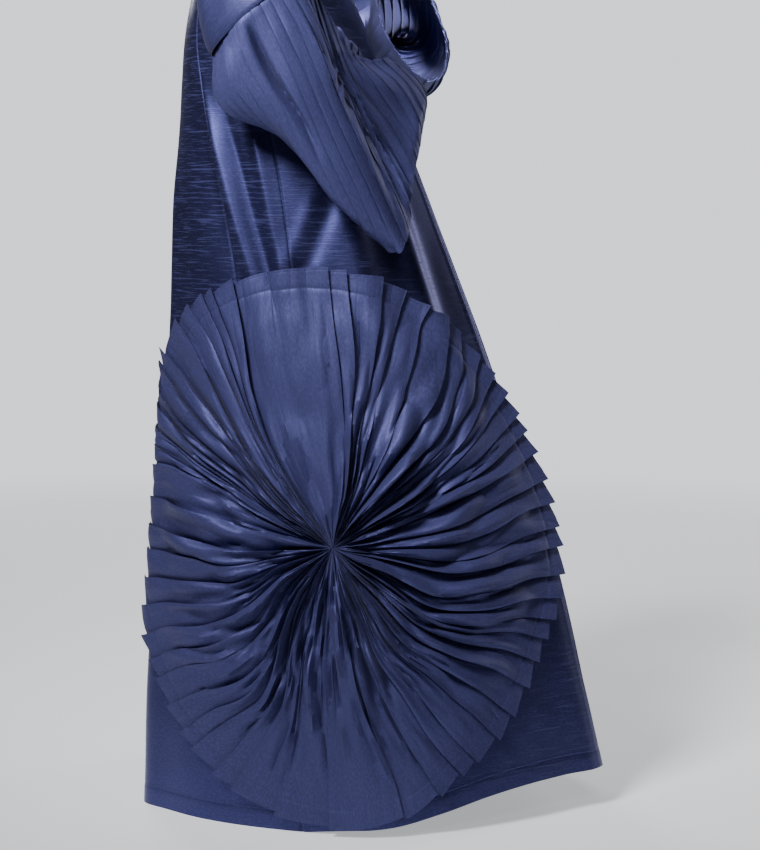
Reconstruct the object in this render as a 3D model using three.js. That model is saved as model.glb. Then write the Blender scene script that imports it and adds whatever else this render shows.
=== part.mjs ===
// A floor-length pleated silk abaya, hollow and open down the front, in the pose it is worn in.
// Millimetres. Z is up, the front of the garment faces -Y, the wearer's right side is -X.
// The origin is the middle of the neck, level with the top of the shoulder seams.
import * as THREE from 'three';

const group = new THREE.Group();
group.name = 'abaya';

// Main sizes.
const NECK_HEIGHT = 1530;
const BODY_WALL = 2;
const SLEEVE_WALL = 1.8;
const ROSETTE_WALL = 1.8;
const SEAM_GAP = 0.3;
const FRONT_OVERLAP_GAP = 1.5;
const RIGHT = -1;
const LEFT = 1;

// Body sections. Heights are above the hem; reaches are from the vertical axis.
const SECTION_HEIGHT = [0, 200, 400, 600, 800, 1000, 1200, 1330, 1530];
const FRONT_REACH = [600, 555, 508, 441, 370, 292, 216, 186, 120];
const BACK_REACH = [196, 190, 176, 158, 143, 136, 123, 112, 84];
const SIDE_AT_Y = [-240, -212, -184, -149, -117, -86, -50, -24, 0];
const RIGHT_WIDTH = [265, 246, 226, 208, 196, 186, 175, 175, 190];
const LEFT_WIDTH = [330, 302, 275, 248, 222, 196, 175, 175, 190];
const KEEL = 0.8;
const BACK_POWER = 2 / 2.5;

// Round the body the place is counted in quarters: 0 centre front, 1 side seam, 3 centre back.
const NECK_END = 0.45;
const BACK_NECK_START = 2.3;
const BEHIND = 1.000001;
const TOP_BLEND = 300;
const ARMHOLE_BLEND = 300;

// The hem is level at the back and rises to the front corners.
const HEM_PLACE = [0, 0.3, 0.5, 0.7, 0.9, 1.2];
const HEM_LIFT = [66, 64, 54, 34, 14, 0];

// Edge points at the top of the right half, mirrored for the left half.
const FRONT_NECK = [0, -98, 1432];
const NECK_POINT = [75, 0, 1530];
const BACK_NECK = [0, 62, 1512];
const SHOULDER_TIP = [215, 0, 1475];
const ARMHOLE_FRONT = [190, -72, 1390];
const ARMHOLE_BACK = [200, 44, 1392];
const UNDERARM = [178, -12, 1322];

// Where the side-back seam runs, counted in quarters, from the hem to the shoulder.
const SIDE_BACK_HEIGHT = [0, 450, 890, 1090, 1280, 1480];
const SIDE_BACK_PLACE = [1.22, 1.3, 1.42, 1.58, 1.84, 1.9];

// Rosette sizes.
const ROSETTE_HEIGHT = 447;
const ROSETTE_UP = 447;
const ROSETTE_FRONT = 414;
const ROSETTE_BACK = 400;
// The folds by their turn at the rim, in degrees from the top, + to the front.
const FOLD_TURNS = [
  -172, -159, -148, -143, -136, -132, -126, -120, -116, -111, -105, -99, -93, -88,
  -83, -77, -70, -64, -57, -53, -49, -45, -35, -29, -24, -21, -15, 8,
  12, 19, 26, 32, 36, 41, 48, 53, 58, 63, 67, 72, 78, 83,
  88, 92, 98, 103, 108, 113, 119, 126, 134, 141, 149, 154, 161, 173,
];
const ROSETTE_RINGS = [0.03, 0.11, 0.24, 0.39, 0.54, 0.69, 0.83, 0.93, 1];
const ROSETTE_RISE = [4, 8, 12, 15, 16, 15, 13, 12.5, 15];
const ROSETTE_TOOTH = [0.5, 3, 6, 7.5, 8, 7.5, 6.5, 5.5, 6];
const ROSETTE_SAWTOOTH = 6;
const ROSETTE_TWIST = 0.22;
const ROSETTE_PRESS = 0.45;
const PRESS_TURN = 1.2;
// The rim isn't a true circle: its reach by the turn from the top, in degrees, + to the front.
const RIM_TURN = [-180, -150, -110, -60, 0, 15, 60, 95, 118, 140, 155, 168, 180];
const RIM_REACH = [0.975, 1.02, 1.03, 1, 1.012, 1.025, 1, 0.985, 0.895, 0.88, 0.885, 0.94, 0.975];

// Sleeve sizes.
const SLEEVE_PLEATS = 30;
const SLEEVE_ROWS = 10;
const SLEEVE_TOOTH = 4.5;

const mix = (a, b, t) => a + (b - a) * t;
const clamp01 = (t) => Math.min(1, Math.max(0, t));
const ease = (t) => clamp01(t) * clamp01(t) * (3 - 2 * clamp01(t));
const point = (triple, side = 1) => new THREE.Vector3(triple[0] * side, triple[1], triple[2]);

// Reads a smooth curve through a short row of sizes.
function smooth(places, sizes, at) {
  const last = places.length - 1;
  if (at <= places[0]) return sizes[0];
  if (at >= places[last]) return sizes[last];
  let k = 0;
  while (at > places[k + 1]) k += 1;
  const slope = (i) => {
    const low = Math.max(0, i - 1);
    const high = Math.min(last, i + 1);
    return (sizes[high] - sizes[low]) / (places[high] - places[low]);
  };
  const span = places[k + 1] - places[k];
  const t = (at - places[k]) / span;
  const t2 = t * t;
  const t3 = t2 * t;
  return (2 * t3 - 3 * t2 + 1) * sizes[k] + (t3 - 2 * t2 + t) * span * slope(k)
    + (3 * t2 - 2 * t3) * sizes[k + 1] + (t3 - t2) * span * slope(k + 1);
}

// The large folds: place round the body at the top and low end, heights, half-width and depth.
const FOLDS = [
  { side: RIGHT, top: 1.72, low: 1.15, from: 1230, to: 820, half: 0.09, deep: 9 },
  { side: RIGHT, top: 1.45, low: 1.05, from: 1230, to: 820, half: 0.08, deep: -7 },
  { side: RIGHT, top: 1.16, low: 1.06, from: 1200, to: 820, half: 0.05, deep: 6 },
  { side: RIGHT, top: 0.53, low: 0.93, from: 1120, to: 960, half: 0.07, deep: 8 },
  { side: RIGHT, top: 0.43, low: 0.83, from: 1120, to: 960, half: 0.07, deep: -8 },
  { side: RIGHT, top: 0.58, low: 0.6, from: 1120, to: 860, half: 0.1, deep: 9 },
  { side: RIGHT, top: 0.27, low: 0.29, from: 1180, to: 780, half: 0.07, deep: 12 },
  { side: RIGHT, top: 0.1, low: 0.07, from: 480, to: 0, half: 0.06, deep: 8 },
  { side: RIGHT, top: 2.45, low: 2.35, from: 1150, to: 0, half: 0.16, deep: 12 },
  { side: LEFT, top: 0.45, low: 0.38, from: 1150, to: 0, half: 0.13, deep: 16 },
  { side: LEFT, top: 0.66, low: 0.64, from: 1150, to: 0, half: 0.11, deep: -15 },
  { side: LEFT, top: 0.92, low: 0.88, from: 1150, to: 0, half: 0.12, deep: 14 },
  { side: LEFT, top: 1.30, low: 1.34, from: 1150, to: 0, half: 0.13, deep: -14 },
  { side: LEFT, top: 1.62, low: 1.66, from: 1180, to: 0, half: 0.14, deep: 15 },
  { side: LEFT, top: 2.10, low: 2.05, from: 1180, to: 0, half: 0.16, deep: -13 },
  { side: LEFT, top: 2.55, low: 2.45, from: 1180, to: 0, half: 0.17, deep: 13 },
];
const FOLD_FADE = 160;

// How far a fold lifts the cloth at a place and height. Folds under the rosette die away.
function foldDepth(side, place, height) {
  let depth = 0;
  for (const fold of FOLDS) {
    if (fold.side !== side) continue;
    const down = clamp01((fold.from - height) / (fold.from - fold.to));
    const centre = mix(fold.top, fold.low, down);
    const across = (place - centre) / fold.half;
    const start = ease((fold.from - height) / FOLD_FADE);
    const end = fold.to > 0 ? ease((height - fold.to + FOLD_FADE) / FOLD_FADE) : 1;
    const grow = fold.to > 0 ? 1 : mix(0.45, 1.25, down);
    depth += fold.deep * grow * start * end * Math.exp(-across * across);
  }
  return depth;
}

// The plain section of the body at a height, before the shoulders shape it.
function section(side, place, height) {
  const sideY = smooth(SECTION_HEIGHT, SIDE_AT_Y, height);
  const width = smooth(SECTION_HEIGHT, side === RIGHT ? RIGHT_WIDTH : LEFT_WIDTH, height);
  let x;
  let y;
  if (place <= 1) {
    const angle = place * Math.PI / 2;
    const reach = smooth(SECTION_HEIGHT, FRONT_REACH, height) + sideY;
    x = width * Math.sin(angle);
    y = sideY - reach * ((1 - KEEL) * Math.cos(angle) + KEEL * (1 - place));
  } else {
    const angle = (place - 1) * Math.PI / 4;
    const reach = smooth(SECTION_HEIGHT, BACK_REACH, height) - sideY;
    x = width * Math.pow(Math.max(0, Math.cos(angle)), BACK_POWER);
    y = sideY + reach * Math.pow(Math.max(0, Math.sin(angle)), BACK_POWER);
  }
  const fold = foldDepth(side, place, height);
  const outX = x / width;
  const outY = (y - sideY) / 200;
  const length = Math.hypot(outX, outY) || 1;
  return new THREE.Vector3(side * (x + fold * outX / length), y + fold * outY / length, height);
}

// A three-point curve, bent through its middle point.
function bend(a, b, c, t) {
  const first = (1 - t) * (1 - t);
  const last = t * t;
  const middle = 2 * t * (1 - t);
  const pull = b.clone().multiplyScalar(2).addScaledVector(a, -0.5).addScaledVector(c, -0.5);
  return a.clone().multiplyScalar(first).addScaledVector(pull, middle).addScaledVector(c, last);
}

// The armhole edge at a height, in front of the arm or behind it.
function armholeEdge(side, front, height) {
  const tip = point(SHOULDER_TIP, side);
  const middle = point(front ? ARMHOLE_FRONT : ARMHOLE_BACK, side);
  const under = point(UNDERARM, side);
  let low = 0;
  let high = 1;
  for (let k = 0; k < 40; k += 1) {
    const t = (low + high) / 2;
    if (bend(under, middle, tip, t).z < height) low = t;
    else high = t;
  }
  return bend(under, middle, tip, (low + high) / 2);
}

// The top edge of the body: neckline and shoulder seam, by place.
function topEdge(side, place) {
  const neck = point(NECK_POINT, side);
  const tip = point(SHOULDER_TIP, side);
  if (place <= NECK_END) {
    return bend(point(FRONT_NECK, side), point([52, -66, 1466], side), neck, place / NECK_END);
  }
  if (place <= 1) return neck.lerp(tip, (place - NECK_END) / (1 - NECK_END));
  if (place <= BACK_NECK_START) return tip.lerp(neck, (place - 1) / (BACK_NECK_START - 1));
  const turn = (place - BACK_NECK_START) / (3 - BACK_NECK_START);
  return bend(neck, point([48, 50, 1518], side), point(BACK_NECK, side), turn);
}

// A point of the body cloth. Up runs from 0 at the hem to 1 at the top edge.
function bodyPoint(side, place, up) {
  const front = place <= 1;
  const top = topEdge(side, place);
  const height = mix(smooth(HEM_PLACE, HEM_LIFT, place), top.z, up);
  const nearArm = ease(front ? (place - 0.3) / 0.7 : (2.3 - place) / 1.3);
  // The section, pushed out so its side follows the armhole above the underarm.
  const shaped = (at) => {
    const spot = section(side, place, at);
    const over = Math.max(at, UNDERARM[2]);
    const grow = ease((at - UNDERARM[2] + ARMHOLE_BLEND) / ARMHOLE_BLEND) * nearArm;
    const edge = armholeEdge(side, front, over).sub(section(side, front ? 1 : BEHIND, over));
    spot.x += edge.x * grow;
    spot.y += edge.y * grow;
    return spot;
  };
  const spot = shaped(height);
  const share = Math.pow(clamp01((height - top.z + TOP_BLEND) / TOP_BLEND), 2);
  if (share > 0) {
    const reach = shaped(top.z);
    spot.x += share * (top.x - reach.x);
    spot.y += share * (top.y - reach.y);
  }
  spot.z = height;
  return spot;
}

// A place counted all the way round, so it carries on past the centre front and back.
function wrapped(side, place) {
  if (place < 0) return [-side, -place];
  if (place > 3) return [-side, 6 - place];
  return [side, place];
}

// The outward direction of the body cloth at a place. Front and back part at the side seam.
function bodyNormal(side, place, up) {
  const step = 0.01;
  const from = place > 1 ? Math.max(BEHIND, place - step) : Math.max(0, place - step);
  const to = place > 1 ? Math.min(3, place + step) : Math.min(1, place + step);
  const across = bodyPoint(side, to, up).sub(bodyPoint(side, from, up));
  const high = bodyPoint(side, place, Math.min(1, up + step));
  const low = bodyPoint(side, place, Math.max(0, up - step));
  return across.cross(high.sub(low)).multiplyScalar(side).normalize();
}

// Builds one closed piece of cloth from its outer and inner points.
function cloth(name, outer, inner, closed, look) {
  const rows = outer.length;
  const columns = outer[0].length;
  const positions = [];
  for (const grid of [outer, inner]) {
    for (const row of grid) {
      for (const p of row) positions.push(p.x, p.y, p.z - NECK_HEIGHT);
    }
  }
  const count = rows * columns;
  const at = (layer, i, j) => layer * count + i * columns + (j % columns);
  const faces = [];
  const quad = (a, b, c, d) => faces.push(a, b, c, a, c, d);
  const spans = closed ? columns : columns - 1;
  for (let i = 0; i < rows - 1; i += 1) {
    for (let j = 0; j < spans; j += 1) {
      quad(at(0, i, j), at(0, i, j + 1), at(0, i + 1, j + 1), at(0, i + 1, j));
      quad(at(1, i, j), at(1, i + 1, j), at(1, i + 1, j + 1), at(1, i, j + 1));
    }
  }
  for (let j = 0; j < spans; j += 1) {
    quad(at(0, 0, j + 1), at(0, 0, j), at(1, 0, j), at(1, 0, j + 1));
    quad(at(0, rows - 1, j), at(0, rows - 1, j + 1), at(1, rows - 1, j + 1), at(1, rows - 1, j));
  }
  if (!closed) {
    for (let i = 0; i < rows - 1; i += 1) {
      quad(at(0, i, 0), at(0, i + 1, 0), at(1, i + 1, 0), at(1, i, 0));
      const j = columns - 1;
      quad(at(0, i, j), at(1, i, j), at(1, i + 1, j), at(0, i + 1, j));
    }
  }
  addMesh(name, positions, faces, look);
}

// Turns the faces outward if the body came out inside-out, then adds the named mesh.
function addMesh(name, positions, faces, look) {
  let volume = 0;
  const corner = (k) => new THREE.Vector3().fromArray(positions, faces[k] * 3);
  for (let k = 0; k < faces.length; k += 3) {
    volume += corner(k).dot(corner(k + 1).cross(corner(k + 2)));
  }
  if (volume < 0) {
    for (let k = 0; k < faces.length; k += 3) {
      [faces[k + 1], faces[k + 2]] = [faces[k + 2], faces[k + 1]];
    }
  }
  const geometry = new THREE.BufferGeometry();
  geometry.setAttribute('position', new THREE.Float32BufferAttribute(positions, 3));
  geometry.setIndex(faces);
  geometry.computeVertexNormals();
  const mesh = new THREE.Mesh(geometry, new THREE.MeshStandardMaterial(look));
  mesh.name = name;
  group.add(mesh);
}

const SILK = { color: 0x2e3766, roughness: 0.42, metalness: 0 };
const PLEATED_SILK = { color: 0x333d70, roughness: 0.45, metalness: 0 };

// The way the upper sleeve leaves the armhole.
const capWay = (side) => point([0.93, 0, -0.36], side).normalize();

// A direction with its part along another one taken out.
const acrossWay = (v, way) => v.clone().addScaledVector(way, -v.dot(way)).normalize();

// Whether a place at the top edge lies on the shoulder seam.
const onShoulder = (place) => place > NECK_END - 0.001 && place < BACK_NECK_START + 0.001;

// Pulls the two ends of each row in by the seam gap.
function trimRow(row) {
  const last = row.length - 1;
  const pull = (k, next) => {
    const way = row[next].clone().sub(row[k]).normalize();
    return row[k].clone().addScaledVector(way, SEAM_GAP);
  };
  const first = pull(0, 1);
  const final = pull(last, last - 1);
  row[0] = first;
  row[last] = final;
}

// The rows of every body panel: closer together up to the underarm, then even up the armhole.
const HALF_ARMHOLE = 8;
const UNDERARM_UP = UNDERARM[2] / SHOULDER_TIP[2];
const BODY_UPS = [];
const LOW_ROWS = 14;
for (let i = 0; i <= LOW_ROWS; i += 1) {
  BODY_UPS.push(UNDERARM_UP * (1 - Math.pow(1 - i / LOW_ROWS, 1.3)));
}
for (let i = 1; i <= HALF_ARMHOLE; i += 1) BODY_UPS.push(mix(UNDERARM_UP, 1, i / HALF_ARMHOLE));

// One body panel between two seams. The seams are functions of the height.
function panel(name, side, fromPlace, toPlace, spread) {
  const outer = [];
  const inner = [];
  BODY_UPS.forEach((up, i) => {
    const outRow = [];
    const inRow = [];
    for (const share of spread) {
      const place = mix(fromPlace(up), toPlace(up), share);
      const [s, p] = wrapped(side, place);
      let normal = bodyNormal(s, p, up);
      const outside = bodyPoint(s, p, up);
      if (i === BODY_UPS.length - 1 && onShoulder(p)) {
        normal = acrossWay(normal, new THREE.Vector3(0, 1, 0));
        outside.y += p <= 1 ? -SEAM_GAP : SEAM_GAP;
      }
      outRow.push(outside);
      inRow.push(outside.clone().addScaledVector(normal, -BODY_WALL));
    }
    trimRow(outRow);
    trimRow(inRow);
    if (name.startsWith('front')) {
      outRow[0].x = inRow[0].x = side * FRONT_OVERLAP_GAP;
    }
    outer.push(outRow);
    inner.push(inRow);
  });
  cloth(name, outer, inner, false, SILK);
}

const sideBack = (up) => smooth(SIDE_BACK_HEIGHT, SIDE_BACK_PLACE, up * 1480);
const even = (from, to, count) => (
  Array.from({ length: count }, (_, k) => mix(from, to, (k + 1) / count)));
for (const [word, side] of [['right', RIGHT], ['left', LEFT]]) {
  const frontSpread = [0, ...even(0, NECK_END, 6), ...even(NECK_END, 1, 9)];
  panel('front_' + word, side, () => 0, () => 1, frontSpread);
  panel('side_back_' + word, side, () => BEHIND, sideBack, [0, ...even(0, 1, 5)]);
}
panel('back_centre', RIGHT, sideBack, (up) => 6 - sideBack(up), [0, ...even(0, 1, 22)]);

// Samples a closed ring through its control points at even steps of length, from the first one.
function evenRing(controls, columns) {
  const curve = new THREE.CatmullRomCurve3(controls, true, 'catmullrom', 0.5);
  curve.arcLengthDivisions = 240;
  const start = curve.getLengths().slice();
  const total = start[start.length - 1];
  const ring = [];
  for (let j = 0; j < columns; j += 1) {
    const t = curve.getUtoTmapping(0, total * j / columns);
    ring.push(curve.getPoint(t));
  }
  return ring;
}

// The end ring of the upper sleeve, where the pleats start, seen as an oval.
const SEAM_CENTRE = [253, -68, 1291];
const SEAM_LONG = [0, -77, 63];
const SEAM_OUT = [65, 0, 0];
const seamNormal = (side) => (
  point(SEAM_LONG, side).cross(point(SEAM_OUT, side)).multiplyScalar(-side).normalize());
function seamRingPoint(side, degrees) {
  const angle = THREE.MathUtils.degToRad(degrees);
  return point(SEAM_CENTRE, side)
    .addScaledVector(point(SEAM_LONG, side), Math.cos(angle))
    .addScaledVector(point(SEAM_OUT, side), Math.sin(angle));
}

// Rings of the right bell sleeve. Each rail starts at an angle on the seam ring, then goes through
// four points to the cuff.
const RIGHT_RAILS = {
  ridge: [45, [-285, -159, 1263], [-272, -190, 1178], [-240, -230, 1076], [-190, -285, 939]],
  low_side: [105, [-306, -62, 1205], [-285, -118, 1128], [-242, -195, 1012], [-184, -268, 925]],
  elbow: [180, [-258, -8, 1153], [-244, -102, 1106], [-212, -186, 1003], [-176, -246, 936]],
  under: [232, [-212, -34, 1168], [-205, -108, 1112], [-178, -174, 1040], [-140, -212, 992]],
  inside: [275, [-190, -84, 1228], [-172, -140, 1178], [-130, -188, 1130], [-88, -226, 1084]],
  crook: [325, [-196, -158, 1285], [-160, -205, 1232], [-110, -238, 1210], [-55, -262, 1166]],
  top: [0, [-226, -160, 1290], [-186, -204, 1228], [-128, -252, 1220], [-66, -293, 1183]],
  valley: [24, [-254, -158, 1268], [-214, -192, 1186], [-164, -232, 1100], [-112, -286, 1062]],
};
const RAIL_STATIONS = [0, 0.25, 0.5, 0.75, 1];

function railRing(rails, station) {
  return Object.values(rails).map(([degrees, ...spots]) => {
    const rail = [seamRingPoint(RIGHT, degrees).toArray(), ...spots];
    const read = (axis) => smooth(RAIL_STATIONS, rail.map((p) => p[axis]), station);
    return new THREE.Vector3(read(0), read(1), read(2));
  });
}

// Rings of the left bell sleeve, folded across the front of the body.
const LEFT_RINGS = {
  centre: [SEAM_CENTRE, [270, -108, 1238], [228, -168, 1232], [140, -220, 1268], [42, -248, 1303]],
  long: [SEAM_LONG, [-18, -74, 62], [-28, -34, 72], [-14, 4, 84], [-30, 22, 94]],
  out: [SEAM_OUT, [68, -18, 0], [58, -54, 2], [28, -58, -4], [20, -50, -14]],
};
const LEFT_RING_CORNERS = 8;

function leftRing(station) {
  const read = (name) => {
    const rail = LEFT_RINGS[name];
    const part = (axis) => smooth(RAIL_STATIONS, rail.map((p) => p[axis]), station);
    return new THREE.Vector3(part(0), part(1), part(2));
  };
  const controls = [];
  for (let k = 0; k < LEFT_RING_CORNERS; k += 1) {
    const angle = 2 * Math.PI * k / LEFT_RING_CORNERS;
    controls.push(read('centre')
      .addScaledVector(read('long'), Math.cos(angle))
      .addScaledVector(read('out'), Math.sin(angle)));
  }
  return controls;
}

// Outward directions over a grid of rings.
function ringNormals(rings) {
  const rows = rings.length;
  const columns = rings[0].length;
  return rings.map((ring, i) => {
    const centre = ring.reduce((sum, p) => sum.add(p), new THREE.Vector3()).divideScalar(columns);
    return ring.map((p, j) => {
      const across = ring[(j + 1) % columns].clone().sub(ring[(j + columns - 1) % columns]);
      const low = rings[Math.max(0, i - 1)][j];
      const high = rings[Math.min(rows - 1, i + 1)][j];
      const normal = across.cross(high.clone().sub(low)).normalize();
      return normal.dot(p.clone().sub(centre)) < 0 ? normal.negate() : normal;
    });
  });
}

// A pleated bell sleeve: every pleat rises to a fold and drops behind it.
function bellSleeve(name, side, controlsAt) {
  const columns = SLEEVE_PLEATS * 2;
  const rings = [];
  for (let i = 0; i <= SLEEVE_ROWS; i += 1) {
    const ring = evenRing(controlsAt(i / SLEEVE_ROWS), columns);
    rings.push(ring);
  }
  const normals = ringNormals(rings);
  const seamWay = seamNormal(side);
  normals[0] = normals[0].map((n) => acrossWay(n, seamWay));
  const outer = rings.map((ring, i) => ring.map((p, j) => {
    const full = ease(0.35 + i / 4);
    const rise = j % 2 === 0 ? SLEEVE_TOOTH * full : 0;
    return p.clone().addScaledVector(normals[i][j], rise);
  }));
  const inner = outer.map((ring, i) => ring.map((p, j) => (
    p.clone().addScaledVector(normals[i][j], -SLEEVE_WALL))));
  for (const grid of [outer, inner]) {
    grid[0] = grid[0].map((p) => p.addScaledVector(seamWay, 2 * SEAM_GAP));
  }
  cloth(name, outer, inner, true, PLEATED_SILK);
}

// The plain upper sleeve, from the armhole to the pleated sleeve's seam.
const UPPER_COLUMNS = HALF_ARMHOLE * 2;
const UPPER_ROWS = 7;
const CAP_PULL = 95;
const SEAM_PULL = 85;
// One turn of the armhole: half way up the front, over the shoulder tip, down the back, up the front.
function armholePoint(side, turn) {
  const quarter = turn * 4;
  const front = quarter <= 1 || quarter > 3;
  const rise = quarter <= 1 ? 0.5 + quarter / 2
    : quarter <= 3 ? (3 - quarter) / 2
      : (quarter - 3) / 2;
  return armholeEdge(side, front, mix(UNDERARM[2], SHOULDER_TIP[2], rise));
}

function upperSleeve(name, side) {
  const startWay = capWay(side);
  const seamWay = seamNormal(side);
  const rings = [];
  for (let i = 0; i <= UPPER_ROWS; i += 1) {
    const t = i / UPPER_ROWS;
    const ring = [];
    for (let j = 0; j < UPPER_COLUMNS; j += 1) {
      const turn = j / UPPER_COLUMNS;
      const a = armholePoint(side, turn);
      const b = seamRingPoint(side, turn * 360);
      const far = a.distanceTo(b) / 130;
      const t2 = t * t;
      const t3 = t2 * t;
      const p = a.clone().multiplyScalar(2 * t3 - 3 * t2 + 1)
        .addScaledVector(startWay, (t3 - 2 * t2 + t) * CAP_PULL * far)
        .addScaledVector(b, 3 * t2 - 2 * t3)
        .addScaledVector(seamWay, (t3 - t2) * SEAM_PULL * far);
      ring.push(p);
    }
    rings.push(ring);
  }
  const normals = ringNormals(rings);
  normals[0] = normals[0].map((n) => acrossWay(n, startWay));
  normals[UPPER_ROWS] = normals[UPPER_ROWS].map((n) => acrossWay(n, seamWay));
  const inner = rings.map((ring, i) => ring.map((p, j) => (
    p.clone().addScaledVector(normals[i][j], -BODY_WALL))));
  for (const grid of [rings, inner]) {
    grid[0] = grid[0].map((p) => p.clone().addScaledVector(startWay, 3 * SEAM_GAP));
  }
  cloth(name, rings, inner, true, SILK);
}

upperSleeve('upper_sleeve_right', RIGHT);
upperSleeve('upper_sleeve_left', LEFT);
bellSleeve('pleated_sleeve_right', RIGHT, (s) => railRing(RIGHT_RAILS, s));
bellSleeve('pleated_sleeve_left', LEFT, (s) => leftRing(s));

// The walk round the right side at a height: places and lengths from the side seam.
const WALK_STEPS = 90;
function walk(height) {
  const places = [];
  const lengths = [];
  const measure = (from, to) => {
    let total = 0;
    let last = section(RIGHT, from, height);
    const track = [];
    for (let k = 1; k <= WALK_STEPS; k += 1) {
      const place = mix(from, to, k / WALK_STEPS);
      const next = section(RIGHT, place, height);
      total += next.distanceTo(last);
      last = next;
      track.push([place, total]);
    }
    return track;
  };
  const front = measure(1, 0);
  const back = measure(1, 3);
  for (let k = back.length - 1; k >= 0; k -= 1) {
    places.push(back[k][0]);
    lengths.push(-back[k][1]);
  }
  places.push(1);
  lengths.push(0);
  for (const [place, total] of front) {
    places.push(place);
    lengths.push(total);
  }
  return { places, lengths };
}

// A point of the body under the rosette and its outward direction. Across is + to the front.
function underRosette(across, height) {
  const { places, lengths } = walk(height);
  const last = lengths.length - 1;
  const wanted = Math.min(across, lengths[last]);
  let k = 0;
  while (k < last - 1 && lengths[k + 1] < wanted) k += 1;
  const t = clamp01((wanted - lengths[k]) / (lengths[k + 1] - lengths[k]));
  const place = mix(places[k], places[k + 1], t);
  const spot = section(RIGHT, place, height);
  const step = 0.03;
  const a = section(RIGHT, Math.max(0, place - step), height);
  const b = section(RIGHT, Math.min(3, place + step), height);
  const low = section(RIGHT, place, height - 20);
  const high = section(RIGHT, place, height + 20);
  const normal = a.clone().sub(b).cross(high.sub(low)).normalize();
  const over = across - wanted;
  if (over > 0) {
    const way = a.clone().sub(b).normalize();
    spot.addScaledVector(way, over);
  }
  return { spot, normal };
}

// A repeatable row of small random shares, for pleats that aren't all alike.
function shares(seed) {
  let state = seed;
  return () => {
    state = (state * 1103515245 + 12345) % 2147483648;
    return state / 2147483648;
  };
}

// The rosette: flat knife pleats at the rim, gathered into one point over the side seam.
function rosette() {
  const next = shares(7);
  const columns = [];
  FOLD_TURNS.forEach((here, k) => {
    const follow = (k + 1) % FOLD_TURNS.length;
    const after = FOLD_TURNS[follow] + (follow === 0 ? 360 : 0);
    const low = here + Math.min(0.14 * (after - here), 1);
    const steps = Math.ceil((after - low) / 5.6);
    columns.push({ degrees: here, climb: 1 });
    const lively = 0.7 + 0.6 * next();
    for (let n = 0; n < steps; n += 1) {
      columns.push({ degrees: mix(low, after, n / steps), climb: n / steps, lively });
    }
  });
  columns.forEach((column, j) => {
    if (column.climb === 1) column.lively = columns[(j + columns.length - 1) % columns.length].lively;
  });
  const outer = [];
  const inner = [];
  ROSETTE_RINGS.forEach((share, i) => {
    const outRow = [];
    const inRow = [];
    for (const { degrees, climb, lively } of columns) {
      const turn = THREE.MathUtils.degToRad(degrees) + ROSETTE_TWIST * Math.pow(1 - share, 2);
      const rim = i === ROSETTE_RINGS.length - 1 ? ROSETTE_SAWTOOTH * (1 - climb) : 0;
      const wrapped = THREE.MathUtils.radToDeg(turn - (turn > Math.PI ? 2 * Math.PI : 0));
      const part = share * smooth(RIM_TURN, RIM_REACH, wrapped);
      const reach = Math.sin(turn) > 0 ? ROSETTE_FRONT : ROSETTE_BACK;
      const across = Math.sin(turn) * (reach * part - rim);
      const height = ROSETTE_HEIGHT + Math.cos(turn) * (ROSETTE_UP * part - rim);
      const { spot, normal } = underRosette(across, height);
      const tooth = ROSETTE_TOOTH[i] * lively * climb;
      const pressed = 1 - ROSETTE_PRESS * share * ease(Math.cos(turn + PRESS_TURN));
      const rise = (ROSETTE_RISE[i] + tooth) * pressed;
      outRow.push(spot.clone().addScaledVector(normal, rise));
      inRow.push(spot.clone().addScaledVector(normal, rise - ROSETTE_WALL));
    }
    outer.push(outRow);
    inner.push(inRow);
  });
  closedDisc('rosette', outer, inner);
}

// A disc of cloth whose first ring is closed by a point on each face.
function closedDisc(name, outer, inner) {
  const rows = outer.length;
  const columns = outer[0].length;
  const positions = [];
  for (const grid of [outer, inner]) {
    for (const row of grid) {
      for (const p of row) positions.push(p.x, p.y, p.z - NECK_HEIGHT);
    }
  }
  const hub = (ring) => ring.reduce((sum, p) => sum.add(p), new THREE.Vector3()).divideScalar(columns);
  for (const grid of [outer, inner]) {
    const p = hub(grid[0]);
    positions.push(p.x, p.y, p.z - NECK_HEIGHT);
  }
  const count = rows * columns;
  const at = (layer, i, j) => layer * count + i * columns + (j % columns);
  const faces = [];
  for (let j = 0; j < columns; j += 1) {
    faces.push(2 * count, at(0, 0, j + 1), at(0, 0, j));
    faces.push(2 * count + 1, at(1, 0, j), at(1, 0, j + 1));
    for (let i = 0; i < rows - 1; i += 1) {
      faces.push(at(0, i, j), at(0, i, j + 1), at(0, i + 1, j + 1));
      faces.push(at(0, i, j), at(0, i + 1, j + 1), at(0, i + 1, j));
      faces.push(at(1, i, j), at(1, i + 1, j + 1), at(1, i, j + 1));
      faces.push(at(1, i, j), at(1, i + 1, j), at(1, i + 1, j + 1));
    }
    faces.push(at(0, rows - 1, j), at(0, rows - 1, j + 1), at(1, rows - 1, j + 1));
    faces.push(at(0, rows - 1, j), at(1, rows - 1, j + 1), at(1, rows - 1, j));
  }
  addMesh(name, positions, faces, PLEATED_SILK);
}

rosette();

export default group;
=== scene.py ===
# A floor-length silk abaya as worn, with pleated bell sleeves and a great pleated rosette on the skirt.
# The cloth is worked out in millimetres above the hem and then set in metres below the neck.
# Z is up, the front faces -Y and the wearer's right side is -X.
import math

import bpy
import numpy as np
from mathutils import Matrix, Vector, noise


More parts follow.
